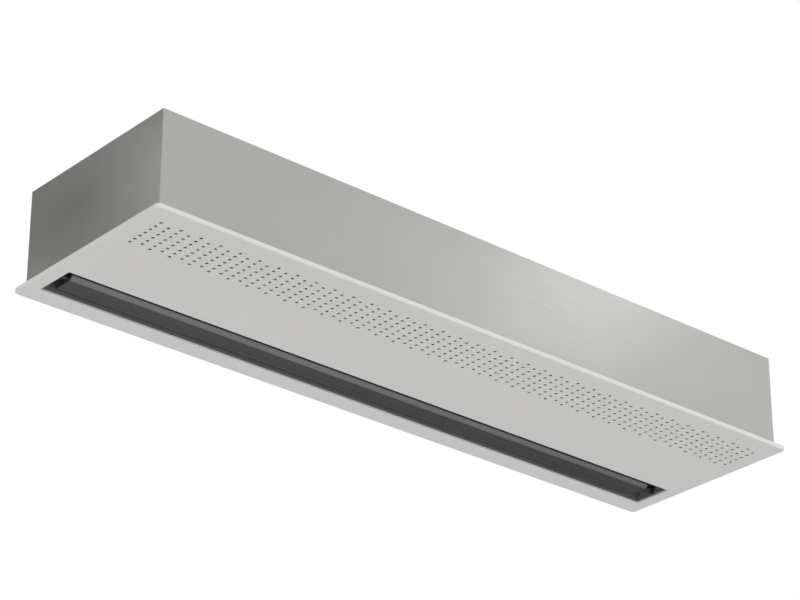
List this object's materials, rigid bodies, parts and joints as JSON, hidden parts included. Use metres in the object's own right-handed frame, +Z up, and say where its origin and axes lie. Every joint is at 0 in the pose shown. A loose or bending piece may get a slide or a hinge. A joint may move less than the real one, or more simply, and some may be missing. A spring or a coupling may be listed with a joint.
{
  "type": "air curtain",
  "caption": "Ceiling-recessed air curtain: perforated white fascia, dark discharge slot with a tilting aerofoil vane, grey sheet-metal casing, radial fans and nozzle inside.",
  "frame": {"origin": "centre of the fascia's flat underside, the face seen from the room", "axes": "+X along the length, +Y from the intake side to the discharge slot's side, +Z up into the ceiling"},
  "size_m": [1.5, 0.414, 0.199],
  "materials": {
    "casing_sheet": "satin zinc-coated sheet",
    "zinc_steel": "bright zinc plate",
    "grommet_rubber": "matt",
    "fascia_paint": "fine-textured light grey-white powder coat",
    "gasket_foam": "open-cell foam",
    "spring_steel": "blued spring steel",
    "nozzle_black": "matt black coat",
    "vane_anodised": "dark grey anodised extrusion",
    "cap_plastic": "moulded",
    "bush_plastic": "moulded",
    "scroll_sheet": "spangled zinc-coated sheet",
    "inlet_ring_sheet": "pressed zinc-coated sheet",
    "impeller_sheet": "pressed zinc-coated sheet",
    "rotor_metal": "die cast, painted grey",
    "stator_metal": "die cast and varnished",
    "box_sheet": "zinc-coated sheet",
    "board_green": "lacquered laminate",
    "capacitor_shell": "moulded shell",
    "terminal_plastic": "moulded",
    "duct_plastic": "extruded",
    "lead_sheath": "satin sheath"
  },
  "bodies": {
    "casing": {"top_plate": "casing_sheet", "intake_side_panel": "casing_sheet", "discharge_side_panel": "casing_sheet", "end_plate_left": "casing_sheet", "end_plate_right": "casing_sheet", "hanger_plates": "zinc_steel", "cable_grommets": "grommet_rubber", "stud_clips": "spring_steel", "nozzle_channel": "nozzle_black", "nozzle_far_wall": "nozzle_black", "nozzle_end_left": "nozzle_black", "nozzle_end_right": "nozzle_black", "vane_bushes": "bush_plastic", "scroll_housing_1": "scroll_sheet", "scroll_housing_2": "scroll_sheet", "scroll_housing_3": "scroll_sheet", "scroll_housing_4": "scroll_sheet", "inlet_rings_1": "inlet_ring_sheet", "inlet_rings_2": "inlet_ring_sheet", "inlet_rings_3": "inlet_ring_sheet", "inlet_rings_4": "inlet_ring_sheet", "motor_stator_1": "stator_metal", "motor_stator_2": "stator_metal", "motor_stator_3": "stator_metal", "motor_stator_4": "stator_metal", "motor_spider_1": "zinc_steel", "motor_spider_2": "zinc_steel", "motor_spider_3": "zinc_steel", "motor_spider_4": "zinc_steel", "control_box": "box_sheet", "control_box_lid": "box_sheet", "circuit_board": "board_green", "capacitors": "capacitor_shell", "terminal_block": "terminal_plastic", "cable_duct": "duct_plastic", "motor_leads": "lead_sheath"},
    "fascia": {"fascia_panel": "fascia_paint", "fascia_gasket": "gasket_foam", "fascia_studs": "zinc_steel"},
    "vane": {"discharge_vane": "vane_anodised", "vane_end_caps": "cap_plastic", "vane_pins": "zinc_steel", "vane_lock_nuts": "zinc_steel"},
    "fan_1": {"impeller_1": "impeller_sheet", "motor_rotor_1": "rotor_metal"},
    "fan_2": {"impeller_2": "impeller_sheet", "motor_rotor_2": "rotor_metal"},
    "fan_3": {"impeller_3": "impeller_sheet", "motor_rotor_3": "rotor_metal"},
    "fan_4": {"impeller_4": "impeller_sheet", "motor_rotor_4": "rotor_metal"}
  },
  "joints": [
    {"name": "fascia_release", "type": "slide", "parent": "casing", "child": "fascia", "axis": [0, 0, -1], "range_m": [0, 0.12]},
    {"name": "vane_tilt", "type": "hinge", "parent": "casing", "child": "vane", "pos_m": [0, 0.1245, 0.0163], "axis": [-1, 0, 0], "range_deg": [0, 80]},
    {"name": "fan_1_spin", "type": "hinge", "parent": "casing", "child": "fan_1", "pos_m": [-0.55125, 0.066, 0.1122], "axis": [-1, 0, 0], "continuous": true},
    {"name": "fan_2_spin", "type": "hinge", "parent": "casing", "child": "fan_2", "pos_m": [-0.18375, 0.066, 0.1122], "axis": [-1, 0, 0], "continuous": true},
    {"name": "fan_3_spin", "type": "hinge", "parent": "casing", "child": "fan_3", "pos_m": [0.18375, 0.066, 0.1122], "axis": [-1, 0, 0], "continuous": true},
    {"name": "fan_4_spin", "type": "hinge", "parent": "casing", "child": "fan_4", "pos_m": [0.55125, 0.066, 0.1122], "axis": [-1, 0, 0], "continuous": true}
  ]
}
